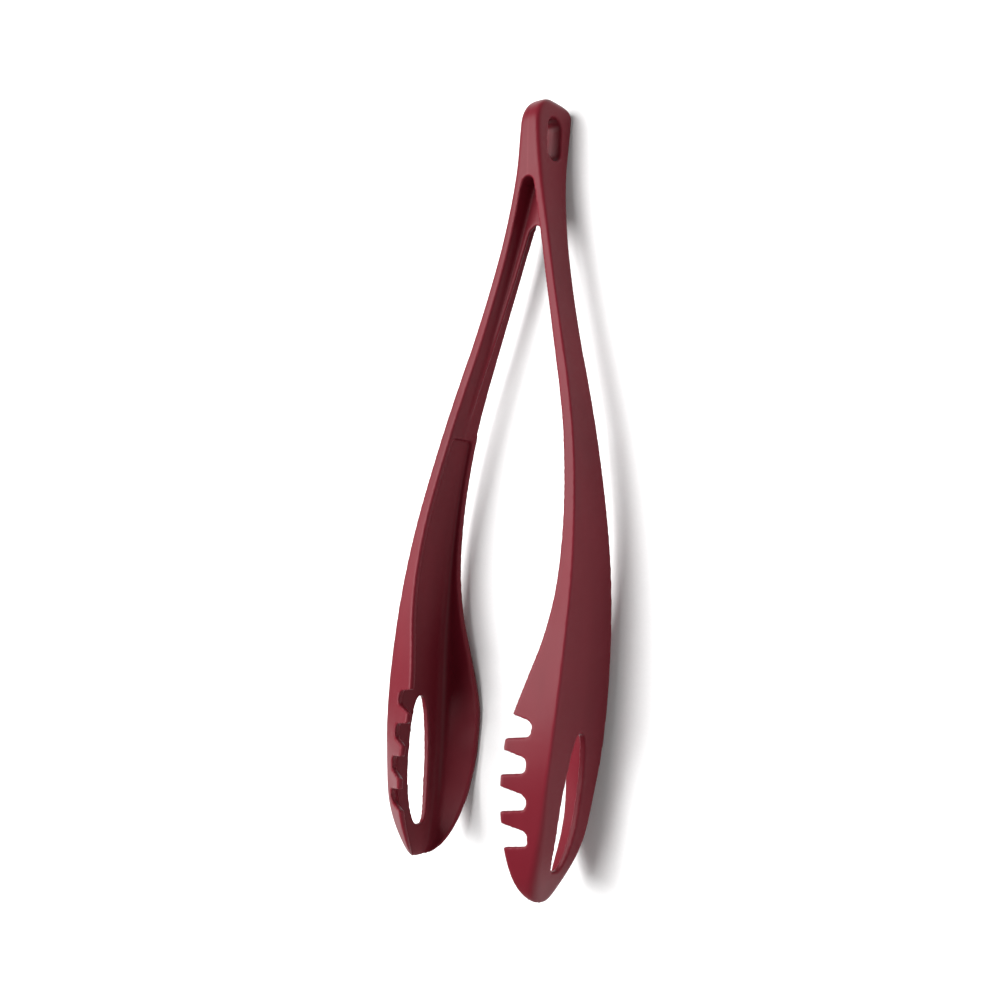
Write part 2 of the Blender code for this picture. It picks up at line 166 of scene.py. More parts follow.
def rounded(corners, radii, steps=4):
    """A ring through corners, each eased by its radius."""
    ring = []
    count = len(corners)
    for i, corner in enumerate(corners):
        p = Vector(corner)
        back = Vector(corners[i - 1]) - p
        ahead = Vector(corners[(i + 1) % count]) - p
        angle = back.angle(ahead, math.pi)
        reach = radii[i] / math.tan(angle / 2)
        start = p + back * min(reach / back.length, 0.45)
        end = p + ahead * min(reach / ahead.length, 0.45)
        for t in np.linspace(0, 1, steps + 1):
            ring.append(start * (1 - t) ** 2 + p * 2 * t * (1 - t) + end * t * t)
    return ring


def solid(name, bm):
    """Turns a bmesh into an object in the workshop, its faces pointing outwards."""
    bmesh.ops.recalc_face_normals(bm, faces=bm.faces)
    mesh = bpy.data.meshes.new(name)
    bm.to_mesh(mesh)
    bm.free()
    obj = bpy.data.objects.new(name, mesh)
    workshop.objects.link(obj)
    return obj


def loft(name, stations, ring_at):
    """A closed solid through the rings that ring_at(y) gives, as (x, z) points."""
    bm = bmesh.new()
    rings = [[bm.verts.new((p[0], y, p[1])) for p in ring_at(y)] for y in stations]
    count = len(rings[0])
    for low, high in zip(rings, rings[1:]):
        for i in range(count):
            j = (i + 1) % count
            bm.faces.new((low[i], low[j], high[j], high[i]))
    bm.faces.new(rings[0])
    bm.faces.new(rings[-1])
    return solid(name, bm)


def slab(name, outline, axis, low, high):
    """A flat outline pushed through the tongs, along x from (y, z) points or along z from (x, y)."""
    bm = bmesh.new()
    face = bm.faces.new([bm.verts.new((low, u, v) if axis == "X" else (u, v, low)) for u, v in outline])
    raised = bmesh.ops.extrude_face_region(bm, geom=[face])["geom"]
    shift = Vector((high - low, 0, 0)) if axis == "X" else Vector((0, 0, high - low))
    bmesh.ops.translate(bm, verts=[v for v in raised if isinstance(v, bmesh.types.BMVert)], vec=shift)
    return solid(name, bm)


def arc(cx, cy, radius, start, end, steps):
    """Points along an arc, its angles in degrees."""
    angles = np.radians(np.linspace(start, end, steps))
    return [(cx + radius * math.cos(a), cy + radius * math.sin(a)) for a in angles]


def plain_mesh(obj):
    """The evaluated object as a plain mesh, its modifiers gone."""
    graph = bpy.context.evaluated_depsgraph_get()
    mesh = bpy.data.meshes.new_from_object(obj.evaluated_get(graph))
    obj.modifiers.clear()
    obj.data = mesh


def carve(obj, *cutters):
    """Cuts the cutters out of obj and throws them away."""
    for cutter in cutters:
        modifier = obj.modifiers.new(cutter.name, "BOOLEAN")
        modifier.operation = "DIFFERENCE"
        modifier.solver = "EXACT"
        modifier.object = cutter
    plain_mesh(obj)
    for cutter in cutters:
        bpy.data.objects.remove(cutter, do_unlink=True)
    print(f"{obj.name}: {len(obj.data.polygons)} faces after {len(cutters)} cuts")

# %% [markdown]
# ## The crown
#
# The crown is the closed end of the tongs: a thick tab with a domed top, a long hang hole through its
# sides, and a pocket in the front and back that leaves only a thin web between the arms. That web is
# the spring. It could be modelled flat and thickened, but a loft with its hollows cut out keeps the
# web, the pockets and the dome true to each other.

# %% Crown
RIB_THICKNESS = 1.3        # the web between the pockets, and the rib that runs on from it
RIB_HEIGHT = 3.3
FLANGE_AT_ROOT = 3.9
FLANGE_AT_GRIP = 4.7
POCKET_RADIUS = 2.9
CROTCH_TO_ROOT = 2.0
DOME_WIDE = 3.4            # height of the dome, seen from the front
DOME_FRONT = 11.0          # seen from the side, towards the front
DOME_BACK = 4.8            # and towards the back
HANG_HOLE_LENGTH = 16.4
HANG_HOLE_WIDTH = 7.6
HANG_HOLE_Y = TOTAL_LENGTH - 15.4
CRISP_RADIUS = 0.5         # edges of the arms and of the jaws' walls
SHOULDER_RADIUS = 2.2      # soft edges round the crown
SOFTENS_BELOW_ROOT = 20.0  # where the edges start to soften, below the root of the arms
SOFTENS_OVER = 45.0        # and how far they take
OVERLAP = 1.2              # how far neighbouring solids reach into each other
CUT_BELOW_ROOT = 6.0       # how far the crown's cutters reach below the root
CUTTER_REACH = CROWN_HALF_DEPTH + 5.0

flange_step = between(FLANGE_AT_GRIP, FLANGE_AT_ROOT)
flange = smooth([
    (JAW_LENGTH, FLANGE_AT_GRIP), (JAW_LENGTH + 0.35 * ARM_LENGTH, flange_step(0.10)),
    (JAW_LENGTH + 0.65 * ARM_LENGTH, flange_step(0.85)), (ROOT_Y, FLANGE_AT_ROOT),
    (POCKET_TOP, FLANGE_AT_ROOT)])


def pocket_side(y):
    """Inner face of the flange, which is also the side of the pockets."""
    return half_width(y) - flange(y)


def edge_radius(y):
    """Outer edges are crisp along the arm and soften towards the crown."""
    share = min(max((y - ROOT_Y + SOFTENS_BELOW_ROOT) / SOFTENS_OVER, 0.0), 1.0)
    return CRISP_RADIUS + (SHOULDER_RADIUS - CRISP_RADIUS) * share


def crown_ring(y):
    def dome(height):
        over = max(y - (TOTAL_LENGTH - height), 0.0) / height
        return math.sqrt(max(1.0 - over * over, 0.0))
    w, r = half_width(y) * dome(DOME_WIDE), edge_radius(y)
    front, back = half_depth(y) * dome(DOME_FRONT), half_depth(y) * dome(DOME_BACK)
    return rounded([(w, front), (-w, front), (-w, -back), (w, -back)], [r] * 4, 6)


def pocket_cutters():
    arch = POCKET_TOP - POCKET_RADIUS
    sides = [(pocket_side(y), y) for y in np.linspace(ROOT_Y - CUT_BELOW_ROOT, arch - 1.0, 9)]
    outline = sides + arc(0.0, arch, POCKET_RADIUS, 0, 180, 17) + [(-x, y) for x, y in reversed(sides)]
    return [slab("front_pocket", outline, "Z", RIB_THICKNESS / 2, CUTTER_REACH),
            slab("back_pocket", outline, "Z", -CUTTER_REACH, -RIB_THICKNESS / 2)]


def crotch_cutter():
    foot = pocket_side(ROOT_Y) - RIB_HEIGHT
    bend = min(foot, CROTCH_TO_ROOT) * 0.6
    half = [(foot + 0.4, ROOT_Y - CUT_BELOW_ROOT), (foot, ROOT_Y)]
    for a in np.radians(np.linspace(10, 80, 8)):
        x = bend * math.cos(a) + (foot - bend) * (1 - math.sin(a))
        half.append((x, ROOT_Y + CROTCH_TO_ROOT * math.sin(a)))
    outline = half + [(0.0, ROOT_Y + CROTCH_TO_ROOT)] + [(-x, y) for x, y in reversed(half)]
    return slab("crotch", outline, "Z", -CUTTER_REACH, CUTTER_REACH)


def hang_hole_cutter():
    half = HANG_HOLE_WIDTH / 2
    straight = HANG_HOLE_LENGTH / 2 - half
    outline = arc(HANG_HOLE_Y + straight, 0.0, half, -90, 90, 17)
    outline += arc(HANG_HOLE_Y - straight, 0.0, half, 90, 270, 17)
    return slab("hang_hole", outline, "X", -ROOT_HALF_WIDTH, ROOT_HALF_WIDTH)


dome_start = TOTAL_LENGTH - DOME_FRONT
crown_stations = list(np.linspace(ROOT_Y - OVERLAP, dome_start, 40))
crown_stations += [dome_start + DOME_FRONT * math.sin(a) for a in np.radians(np.linspace(4, 88, 22))]
crown = loft("crown", crown_stations, crown_ring)
carve(crown, *pocket_cutters(), crotch_cutter(), hang_hole_cutter())

# %% [markdown]
# ## The arm
#
# Between crown and jaw each arm is a flat outer flange with one thin rib along its inner side, which
# keeps the arm stiff while it stays light. The section is a T, so the arm is one more loft.

# %% Right arm
RIB_RUN_OUT = 6.0          # plain flange between the end of the rib and the trough
RIB_END_HEIGHT = 0.2
RIB_CURVE = 0.8            # how soon the rib runs out, 1 being a straight line
RIB_EDGE_RADIUS = 0.4
RIB_ROOT_RADIUS = 0.9


def rib_height(y):
    start = JAW_LENGTH + RIB_RUN_OUT
    share = min(max((y - start) / (ROOT_Y - start), 0.0), 1.0)
    return RIB_END_HEIGHT + (RIB_HEIGHT - RIB_END_HEIGHT) * share ** RIB_CURVE


def arm_ring(y):
    w, d, r = half_width(y), half_depth(y), RIB_THICKNESS / 2
    inner = w - flange(y)
    edge = inner - rib_height(y)
    corners = [(w, -d), (w, d), (inner, d), (inner, r), (edge, r), (edge, -r), (inner, -r), (inner, -d)]
    half = [edge_radius(y), CRISP_RADIUS, RIB_ROOT_RADIUS, RIB_EDGE_RADIUS]
    return rounded(corners, half[:1] + half + half[:0:-1])


arm = loft("right_arm", np.linspace(JAW_LENGTH - OVERLAP, ROOT_Y + OVERLAP, 90), arm_ring)
print(f"right arm: {len(arm.data.polygons)} faces")

# %% [markdown]
# ## The jaw
#
# A jaw is a trough: an outer wall with a front and a back wall that lean outwards. The walls grow from
# the grip to the middle of the jaw and close into a rounded tip. Inside, a wide fillet joins floor and
# walls so that sauce doesn't cling. One loft of the channel section makes all of it.

# %% Right jaw
TIP_BLUNT = 0.15           # flat at the very end of the tip
TIP_CURVE = 1.6            # how late the tip starts to narrow
TIP_DEPTH_POWER = 0.37     # how bluntly the outer wall narrows, 0.5 being an ellipse
TIP_WALL_POWER = 0.62      # and the length of the front and back walls
TIP_SKIN_POWER = 0.45      # and their thickness
TROUGH_FILLET = 4.5        # between the trough's floor and walls
RIM_INSIDE_RADIUS = 0.8
TIP_RIDGE_RADIUS = 5.0     # the ridge outside softens towards the tip


def tip_taper(y, power):
    """1 above the rounded tip of a jaw, falling to almost nothing at its end."""
    s = 1.0 - (y + TIP_BLUNT) / (TIP_LENGTH + TIP_BLUNT)
    return 1.0 if s <= 0.0 else (1.0 - s**TIP_CURVE) ** power


def jaw_lines(y):
    """Half width, half depth, wall length and lean of a jaw at a station."""
    return (half_width(y), half_depth(y) * tip_taper(y, TIP_DEPTH_POWER),
            wall_height(y) * tip_taper(y, TIP_WALL_POWER), math.radians(flare(y)))


def trough_wall(y, lean_share=1.0, length_share=1.0):
    """Corners of one wall: outside edge, rim outside and inside, and foot inside, as (x, depth)."""
    w, d, length, lean = jaw_lines(y)
    length *= length_share
    lean *= lean_share
    floor = JAW_FLOOR * tip_taper(y, TIP_SKIN_POWER)
    wall = JAW_WALL * tip_taper(y, TIP_SKIN_POWER)
    rim_x, rim_z = w - length * math.cos(lean), d + length * math.sin(lean)
    foot_z = d - wall / math.cos(lean) + floor * math.tan(lean)
    return [(w, d), (rim_x, rim_z), (rim_x - wall * math.sin(lean), rim_z - wall * math.cos(lean)),
            (w - floor, foot_z)]


def rim(y):
    """Outer edge of the front wall's rim, as (x, z)."""
    return trough_wall(y)[1]


def jaw_ring(y):
    near_tip = max(1.0 - y / (2.0 * TIP_LENGTH), 0.0)
    ridge = CRISP_RADIUS + (TIP_RIDGE_RADIUS - CRISP_RADIUS) * near_tip
    radii = [ridge, CRISP_RADIUS, RIM_INSIDE_RADIUS, TROUGH_FILLET]
    back = trough_wall(y, back_lean(y), BACK_LENGTH)
    return rounded(trough_wall(y) + [(x, -z) for x, z in reversed(back)], radii + radii[::-1])


jaw_stations = [(JAW_LENGTH + OVERLAP) * (i / 150) ** 1.3 for i in range(151)]
jaw = loft("right_jaw", jaw_stations, jaw_ring)
print(f"right jaw: {len(jaw.data.polygons)} faces, rim {rim(0.35 * JAW_LENGTH)[1]:.1f} mm in front")

# %% [markdown]
# ## The arched step at the top of the trough
#
# Where the arm's solid flange ends, the trough drops in under a small arch. Two shoulders, one on each
# side, fill the corners of the step and leave the arch between them.

# %% Arched step
ARCH_RISE = 2.6
STEP_OVERLAP = 0.6         # how far a shoulder reaches into the wall behind it
STEP_ABOVE = 0.5           # and into the flange above it


def shoulder(name, side):
    half = GRIP_HALF_DEPTH - JAW_WALL

    def ring_at(y):
        below = min(max((JAW_LENGTH - y) / ARCH_RISE, 0.0), 1.0)
        inner = half * math.sqrt(1.0 - (1.0 - below) ** 2)
        w = half_width(y)
        near, far = w - flange(y), w - 0.6 * JAW_FLOOR
        outer = half + STEP_OVERLAP
        return [(x, side * z) for x, z in ((near, inner), (near, outer), (far, outer), (far, inner))]
    top, height = JAW_LENGTH + STEP_ABOVE, ARCH_RISE + STEP_ABOVE
    return loft(name, [top - height * t for t in np.linspace(0, 0.995, 14)], ring_at)


shoulders = [shoulder("front_shoulder", 1), shoulder("back_shoulder", -1)]
print("arched step:", [len(s.data.polygons) for s in shoulders])

# %% [markdown]
# ## The drain slot
#
# Water drains through one long slot in the outer wall of each jaw, a little behind the middle of the
# wall. Its outline is a sine raised to a power, which gives the blunt ends.

# %% Drain slot
SLOT_LENGTH = 48.8
SLOT_BOTTOM = 11.2
SLOT_WIDTH = 10.4
SLOT_SHIFT = 0.9           # how far it lies behind the middle of the wall
SLOT_SKEW = 0.85           # below 1 the slot is widest nearer its lower end
SLOT_ROUNDNESS = 0.36      # how blunt its ends are, 0.5 being an ellipse
SLOT_CLEARANCE = 2.2 * JAW_FLOOR

spread = [0.5 - 0.5 * math.cos(math.pi * t) for t in np.linspace(0, 1, 41)[1:-1]]
slot_side = [(SLOT_BOTTOM + SLOT_LENGTH * t,
              SLOT_WIDTH / 2 * math.sin(math.pi * t ** SLOT_SKEW) ** SLOT_ROUNDNESS) for t in spread]
slot_outline = [(SLOT_BOTTOM, 0.0)] + slot_side + [(SLOT_BOTTOM + SLOT_LENGTH, 0.0)]
slot_outline += [(y, -z) for y, z in reversed(slot_side)]
slot_outline = [(y, z - SLOT_SHIFT) for y, z in slot_outline]
slot_inside = half_width(SLOT_BOTTOM) - SLOT_CLEARANCE
slot_outside = half_width(SLOT_BOTTOM + SLOT_LENGTH / 2) + SLOT_CLEARANCE
slot_cutter = slab("drain_slot", slot_outline, "X", slot_inside, slot_outside)
print(f"drain slot {SLOT_LENGTH:.0f} mm long")

# %% [markdown]
# ## The tines
#
# Four rounded notches leave three tines on the front wall, which comb strands of pasta. The notches
# repeat along the rim, so Geometry Nodes makes them: a curve follows the rim, the tree spaces its
# points, and each point gets one notch, drawn as a trapezoid whose corners are filleted.

# %% A Geometry Nodes tree for the notches
NOTCHES = 4
NOTCH_PITCH = 12.3
FIRST_NOTCH = 24.2         # height of the lowest notch above the tip
NOTCH_DEPTH = 8.0
NOTCH_MOUTH = 8.2          # width of a notch at the rim
NOTCH_ROOT_RADIUS = 2.4
NOTCH_OVERSHOOT = 7.0      # how far a cutter stands out beyond the rim


def node(tree, kind, **settings):
    made = tree.nodes.new(kind)
    for key, value in settings.items():
        setattr(made, key, value)
    return made


def notch_tree():
    """Closed notch cutters along a curve, in millimetres."""
    tree = bpy.data.node_groups.new("tine_notches", "GeometryNodeTree")
    face = tree.interface
    face.new_socket("Rim", in_out="INPUT", socket_type="NodeSocketGeometry")
    for name, kind in (("Notches", "Int"), ("Depth", "Float"), ("Root Width", "Float"),
                       ("Outer Width", "Float"), ("Fillet", "Float"), ("Reach", "Float")):
        face.new_socket(name, in_out="INPUT", socket_type=f"NodeSocket{kind}")
    face.new_socket("Material", in_out="INPUT", socket_type="NodeSocketMaterial")
    face.new_socket("Cutters", in_out="OUTPUT", socket_type="NodeSocketGeometry")
    start = node(tree, "NodeGroupInput").outputs
    link = tree.links.new
    places = node(tree, "GeometryNodeResampleCurve")
    link(start["Rim"], places.inputs["Curve"])
    link(start["Notches"], places.inputs["Count"])
    shape = node(tree, "GeometryNodeCurvePrimitiveQuadrilateral", mode="TRAPEZOID")
    link(start["Root Width"], shape.inputs["Top Width"])
    link(start["Outer Width"], shape.inputs["Bottom Width"])
    link(start["Depth"], shape.inputs["Height"])
    shape.inputs["Offset"].default_value = 0.0
    round_off = node(tree, "GeometryNodeFilletCurve", mode="POLY")
    round_off.inputs["Count"].default_value = 7
    link(shape.outputs["Curve"], round_off.inputs["Curve"])
    link(start["Fillet"], round_off.inputs["Radius"])
    fill = node(tree, "GeometryNodeFillCurve", mode="NGONS")
    link(round_off.outputs["Curve"], fill.inputs["Curve"])
    push = node(tree, "GeometryNodeExtrudeMesh", mode="FACES")
    push.inputs["Individual"].default_value = False
    link(fill.outputs["Mesh"], push.inputs["Mesh"])
    link(start["Reach"], push.inputs["Offset Scale"])
    under = node(tree, "GeometryNodeFlipFaces")
    link(fill.outputs["Mesh"], under.inputs["Mesh"])
    both = node(tree, "GeometryNodeJoinGeometry")
    link(push.outputs["Mesh"], both.inputs["Geometry"])
    link(under.outputs["Mesh"], both.inputs["Geometry"])
    weld = node(tree, "GeometryNodeMergeByDistance")
    weld.inputs["Distance"].default_value = 0.001
    link(both.outputs["Geometry"], weld.inputs["Geometry"])
    spread_out = node(tree, "GeometryNodeInstanceOnPoints")
    link(places.outputs["Curve"], spread_out.inputs["Points"])
    link(weld.outputs["Geometry"], spread_out.inputs["Instance"])
    spread_out.inputs["Rotation"].default_value = (0.0, 0.0, -math.pi / 2)
    real = node(tree, "GeometryNodeRealizeInstances")
    link(spread_out.outputs["Instances"], real.inputs["Geometry"])
    dress = node(tree, "GeometryNodeSetMaterial")
    link(real.outputs["Geometry"], dress.inputs["Geometry"])
    link(start["Material"], dress.inputs["Material"])
    end = node(tree, "NodeGroupOutput")
    link(dress.outputs["Geometry"], end.inputs["Cutters"])
    return tree


def run_tree(obj, tree, **inputs):
    """Runs a tree on obj with its inputs set by identifier, and keeps the plain mesh."""
    modifier = obj.modifiers.new(tree.name, "NODES")
    modifier.node_group = tree
    sockets = {s.name: s.identifier for s in tree.interface.items_tree if s.in_out == "INPUT"}
    for name, value in inputs.items():
        modifier[sockets[name.replace("_", " ")]] = value
    graph = bpy.context.evaluated_depsgraph_get()
    mesh = bpy.data.meshes.new_from_object(obj.evaluated_get(graph))
    made = bpy.data.objects.new(tree.name + "_mesh", mesh)
    workshop.objects.link(made)
    bpy.data.objects.remove(obj, do_unlink=True)
    return made

# %% [markdown]
# The burgundy plastic is needed by the tree, so its material is made here and gets its nodes later.
# The rim curve runs through the middles of the cutters, from the first notch to the last.

# %% Cut the tines
plastic = bpy.data.materials.new("burgundy_plastic")
cutter_length = NOTCH_DEPTH + NOTCH_OVERSHOOT
widening = (NOTCH_MOUTH - 2 * NOTCH_ROOT_RADIUS) / NOTCH_DEPTH
rim_curve = bpy.data.curves.new("rim_line", "CURVE")
rim_curve.dimensions = "3D"
rim_line = rim_curve.splines.new("POLY")
rim_stations = np.linspace(FIRST_NOTCH, FIRST_NOTCH + (NOTCHES - 1) * NOTCH_PITCH, 25)
rim_line.points.add(len(rim_stations) - 1)
for point, y in zip(rim_line.points, rim_stations):
    bottom = rim(y)[0] + NOTCH_DEPTH
    point.co = (bottom - cutter_length / 2, y, 1.0, 1.0)
rim_object = bpy.data.objects.new("rim_line", rim_curve)
workshop.objects.link(rim_object)
notches = run_tree(rim_object, notch_tree(), Notches=NOTCHES, Depth=cutter_length,
                   Root_Width=2 * NOTCH_ROOT_RADIUS,
                   Outer_Width=2 * NOTCH_ROOT_RADIUS + widening * cutter_length,
                   Fillet=0.92 * NOTCH_ROOT_RADIUS, Reach=JAW_HALF_DEPTH + WALL_HEIGHT,
                   Material=plastic)
print("notch cutters:", len(notches.data.polygons), "faces,",
      "x", [round(v, 1) for v in (min(v.co.x for v in notches.data.vertices),
                                  max(v.co.x for v in notches.data.vertices))])
carve(jaw, slot_cutter, notches)

# %% [markdown]
# ## One moulding
#
# Plastic flows as one body, so the crown, the arm, the jaw and the shoulders are melted together. A
# voxel remesh keeps only the outside of solids that overlap, and a light smoothing then rounds every
# edge by about half a millimetre, as the polished edges of a mould do. Bevels could round the edges
# too, but they break up where cuts meet at shallow angles. Only the right half is made: the crown is
# cut at the middle plane, and the left half is its mirror image.

# %% Melt the right half together
VOXEL = 0.46
SMOOTHING = 7


def melt(name, parts):
    """Joins overlapping solids into one skin with eased edges."""
    bm = bmesh.new()
    for part in parts:
        bm.from_mesh(part.data)
        bpy.data.objects.remove(part, do_unlink=True)
    obj = solid(name, bm)
    remesh = obj.modifiers.new("melt", "REMESH")
    remesh.mode = "VOXEL"
    remesh.voxel_size = VOXEL
    remesh.use_smooth_shade = True
    ease = obj.modifiers.new("ease", "SMOOTH")
    ease.factor = 0.5
    ease.iterations = SMOOTHING
    plain_mesh(obj)
    return obj


moulding = melt("right_half", [crown, arm, jaw] + shoulders)
print(f"right half: {len(moulding.data.polygons)} faces")

# %% [markdown]
# The cut at the middle plane is closed with a cap that nobody sees. Points next to the plane are first
# pulled onto it, so that no sliver of a face shows as a seam.

# %% Cut at the middle plane and mirror
def halve(obj):
    bm = bmesh.new()
    bm.from_mesh(obj.data)
    for v in bm.verts:
        if abs(v.co.x) < 0.35 * VOXEL:
            v.co.x = 0.0
    everything = bm.verts[:] + bm.edges[:] + bm.faces[:]
    bmesh.ops.bisect_plane(bm, geom=everything, dist=1e-4, plane_co=(0, 0, 0), plane_no=(1, 0, 0),
                           clear_inner=True)
    border = [e for e in bm.edges if e.is_boundary]
    cap = bmesh.ops.triangle_fill(bm, use_beauty=True, edges=border, normal=(-1, 0, 0))
    for e in border:
        e.smooth = False
    bmesh.ops.recalc_face_normals(bm, faces=bm.faces)
    open_edges = sum(1 for e in bm.edges if not e.is_manifold)
    bm.to_mesh(obj.data)
    bm.free()
    print(f"{obj.name}: cap of {len(cap['geom'])} elements, {open_edges} open edges")


def mirrored(obj, name):
    """A mirror image whose faces still point outwards."""
    mesh = obj.data.copy()
    mesh.transform(Matrix.Diagonal((-1, 1, 1, 1)))
    mesh.flip_normals()
    mesh.name = name
    twin = bpy.data.objects.new(name, mesh)
    workshop.objects.link(twin)
    return twin


halve(moulding)
halves = {"right": moulding, "left": mirrored(moulding, "left_half")}

# %% [markdown]
# ## Where edges catch the light
#
# Handling polishes the edges of a plastic tool first, and the colour along them is painted a little
# lighter as a highlight. The material needs to know where the edges are, so each vertex gets a value:
# how far it stands out from the average of its neighbours. A few rounds of averaging turn that into a
# soft band along every convex edge.

# %% Mark the convex edges
EDGE_FULL = 0.16           # stand-out, as a share of the edge length, that counts as a full edge


def mark_edges(mesh, rounds=3):
    count = len(mesh.vertices)
    co = np.empty(count * 3)
    mesh.vertices.foreach_get("co", co)
    co = co.reshape(-1, 3)
    normal = np.empty(count * 3)
    mesh.vertex_normals.foreach_get("vector", normal)
    normal = normal.reshape(-1, 3)
    pairs = np.empty(len(mesh.edges) * 2, int)
    mesh.edges.foreach_get("vertices", pairs)
    a, b = pairs.reshape(-1, 2).T
    links = np.bincount(a, minlength=count) + np.bincount(b, minlength=count)

    def mean_of_neighbours(values):
        total = np.zeros(count)
        np.add.at(total, a, values[b])
        np.add.at(total, b, values[a])
        return total / np.maximum(links, 1)
    middle = np.stack([mean_of_neighbours(co[:, i]) for i in range(3)], 1)
    stand_out = ((co - middle) * normal).sum(1) / VOXEL
    value = np.clip(stand_out / EDGE_FULL, 0.0, 1.0)
    for _ in range(rounds):
        value = 0.5 * value + 0.5 * mean_of_neighbours(value)
    # The edge mask feeds polish in the roughness and a painted highlight in the colour.
    attribute = mesh.attributes.new("convex_edge", "FLOAT", "POINT")
    attribute.data.foreach_set("value", value.astype(np.float32))
    return value


for side, half in halves.items():
    marked = mark_edges(half.data)
    print(f"{side} half: {100 * float((marked > 0.4).mean()):.1f} % of the skin is edge")

# %% [markdown]
# ## Into the frame
#
# The halves are still upright and in millimetres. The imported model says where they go: its joints give
# the root of the arms and the direction that points out of the front. The place goes into the mesh, so
# that each object stays at the origin, unturned.

# %% Place the halves
joints = {j["name"]: j for j in frame["joints"]}
root = (Vector(joints["left_flex"]["pos_m"]) + Vector(joints["right_flex"]["pos_m"])) / 2
outwards = Vector(joints["left_flex"]["axis"]).normalized()
across = Vector((1.0, 0.0, 0.0))
upwards = outwards.cross(across)
turn = Matrix((across, upwards, outwards)).transposed().to_4x4()
place = Matrix.Translation(root) @ turn @ Matrix.Scale(MM, 4) @ Matrix.Translation((0.0, -ROOT_Y, 0.0))
for half in halves.values():
    half.data.transform(place)
    workshop.objects.unlink(half)
    bpy.context.scene.collection.objects.link(half)
print("crown top at", [round(v, 4) for v in place @ Vector((0.0, TOTAL_LENGTH, 0.0))])

# %% [markdown]
# ## Burgundy plastic
#
# The plastic is a deep wine red with a satin skin. Four things keep it from looking like flat paint:
# pigment that drifts with the melt, a fine sparkle of grain from the mould, edges that are smoother from
# handling and painted slightly lighter as a highlight, and dull patches where hands and dishwater have
# been. Each is a small group with named inputs, so its size and strength can be read off the material.

# %% Node groups for the plastic
def new_group(name, inputs, outputs):
    """A shader group with named sockets; returns it with its input outputs and output inputs."""
    tree = bpy.data.node_groups.new(name, "ShaderNodeTree")
    for socket, kind, value in inputs:
        made = tree.interface.new_socket(socket, in_out="INPUT", socket_type=f"NodeSocket{kind}")
        if value is not None:
            made.default_value = value
    for socket, kind in outputs:
        tree.interface.new_socket(socket, in_out="OUTPUT", socket_type=f"NodeSocket{kind}")
    start = node(tree, "NodeGroupInput").outputs
    end = node(tree, "NodeGroupOutput").inputs
    return tree, start, end


def noise(tree, where, scale, detail=2.0, roughness=0.5):
    made = node(tree, "ShaderNodeTexNoise")
    made.inputs["Detail"].default_value = detail
    made.inputs["Roughness"].default_value = roughness
    tree.links.new(where, made.inputs["Vector"])
    if isinstance(scale, float):
        made.inputs["Scale"].default_value = scale
    else:
        tree.links.new(scale, made.inputs["Scale"])
    return made.outputs["Fac"]


def spread_range(tree, value, low, high, to_low=0.0, to_high=1.0):
    """Stretches the part of a value between low and high, and clips the rest."""
    made = node(tree, "ShaderNodeMapRange")
    tree.links.new(value, made.inputs["Value"])
    ends = {"From Min": low, "From Max": high, "To Min": to_low, "To Max": to_high}
    for socket, number in ends.items():
        if isinstance(number, (int, float)):
            made.inputs[socket].default_value = number
        else:
            tree.links.new(number, made.inputs[socket])
    return made.outputs["Result"]


def arithmetic(tree, operation, a, b):
    made = node(tree, "ShaderNodeMath", operation=operation)
    for socket, value in zip(made.inputs, (a, b)):
        if isinstance(value, (int, float)):
            socket.default_value = value
        else:
            tree.links.new(value, socket)
    return made.outputs["Value"]


def blend_colours(tree, factor, a, b):
    made = node(tree, "ShaderNodeMix", data_type="RGBA")
    tree.links.new(factor, made.inputs["Factor"])
    for socket, value in ((made.inputs[6], a), (made.inputs[7], b)):
        if isinstance(value, tuple):
            socket.default_value = value
        else:
            tree.links.new(value, socket)
    return made.outputs[2]


def melt_drift():
    """Pigment that drifts in long streaks from the crown towards the jaws."""
    tree, start, end = new_group(
        "melt_drift", [("Where", "Vector", None), ("Deep", "Color", None), ("Warm", "Color", None),
                       ("Streaks", "Float", 90.0)], [("Colour", "Color")])
    stretch = node(tree, "ShaderNodeVectorMath", operation="MULTIPLY")
    stretch.inputs[1].default_value = (1.0, 0.12, 1.0)
    tree.links.new(start["Where"], stretch.inputs[0])
    streaks = noise(tree, stretch.outputs["Vector"], start["Streaks"], 3.0)
    clouds = noise(tree, start["Where"], 22.0, 2.0)
    both = arithmetic(tree, "ADD", arithmetic(tree, "MULTIPLY", streaks, 0.55),
                      arithmetic(tree, "MULTIPLY", clouds, 0.45))
    tree.links.new(blend_colours(tree, spread_range(tree, both, 0.36, 0.64), start["Deep"], start["Warm"]),
                   end["Colour"])
    return tree


def mould_grain():
    """The fine texture that a spark eroded mould leaves."""
    tree, start, end = new_group(
        "mould_grain", [("Where", "Vector", None), ("Grains per Metre", "Float", 2600.0)],
        [("Height", "Float")])
    fine = noise(tree, start["Where"], start["Grains per Metre"], 1.0)
    coarse_scale = arithmetic(tree, "MULTIPLY", start["Grains per Metre"], 0.31)
    coarse = noise(tree, start["Where"], coarse_scale, 2.0)
    tree.links.new(arithmetic(tree, "ADD", arithmetic(tree, "MULTIPLY", fine, 0.6),
                              arithmetic(tree, "MULTIPLY", coarse, 0.4)), end["Height"])
    return tree


